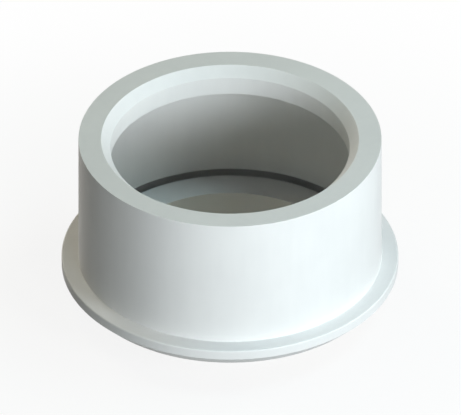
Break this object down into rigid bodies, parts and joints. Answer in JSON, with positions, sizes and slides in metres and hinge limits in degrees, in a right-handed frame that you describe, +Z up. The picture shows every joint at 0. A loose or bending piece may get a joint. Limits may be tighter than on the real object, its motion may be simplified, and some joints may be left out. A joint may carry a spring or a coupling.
{
  "type": "septic tank riser",
  "caption": "Hollow round riser ring with a chamfered collar in its top, a tapered flange around its base, and a spigot that goes into the ring below.",
  "frame": {"origin": "centre of the spigot's foot, on the level floor that the riser stands on", "axes": "+Z up along the axis of the ring, out of the collar; the ring is round, so +X and +Y are any two directions across it"},
  "size_m": [0.681, 0.681, 0.381],
  "materials": {
    "riser_plastic": "satin white polyethylene moulding"
  },
  "bodies": {
    "root": {"riser": "riser_plastic"}
  },
  "joints": []
}
